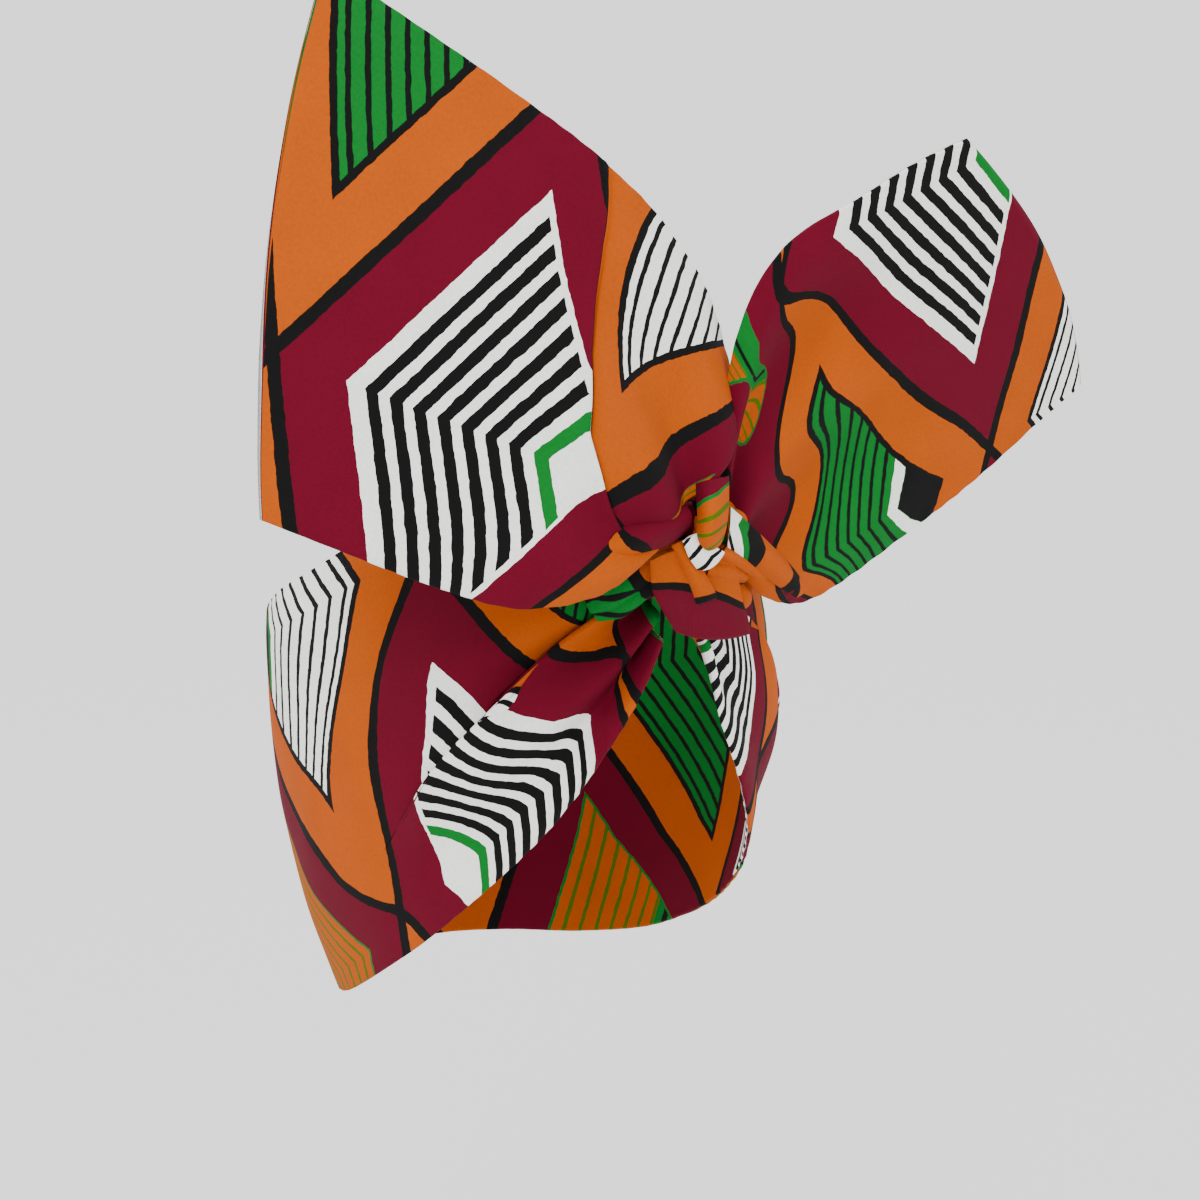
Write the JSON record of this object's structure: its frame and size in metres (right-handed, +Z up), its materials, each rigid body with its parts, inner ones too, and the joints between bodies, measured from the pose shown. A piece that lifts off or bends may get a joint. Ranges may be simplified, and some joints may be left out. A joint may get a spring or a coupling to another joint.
{
  "type": "wired head wrap",
  "caption": "Long strip of doubled printed cotton worn round the head, hooked round itself in a front knot, its wired ends standing up as two stiff ears.",
  "frame": {"origin": "middle of the hollow for the head, at the head's widest level, about the wearer's temples", "axes": "+Z up along the head, -Y where the wearer looks and where the knot is, +X to the wearer's left"},
  "size_m": [0.2825, 0.2377, 0.3347],
  "materials": {
    "printed_cotton_band": "matte plain-weave cotton, printed with a burgundy and orange lattice",
    "printed_cotton_knot": "matte plain-weave cotton, printed with a burgundy and orange lattice, gathered in folds",
    "printed_cotton_ears": "matte plain-weave cotton, printed with a burgundy and orange lattice, pressed flat over a hidden wire"
  },
  "bodies": {
    "root": {"head_band": "printed_cotton_band", "knot_strand_right": "printed_cotton_knot", "knot_strand_left": "printed_cotton_knot", "ear_right": "printed_cotton_ears", "ear_left": "printed_cotton_ears"}
  },
  "joints": []
}
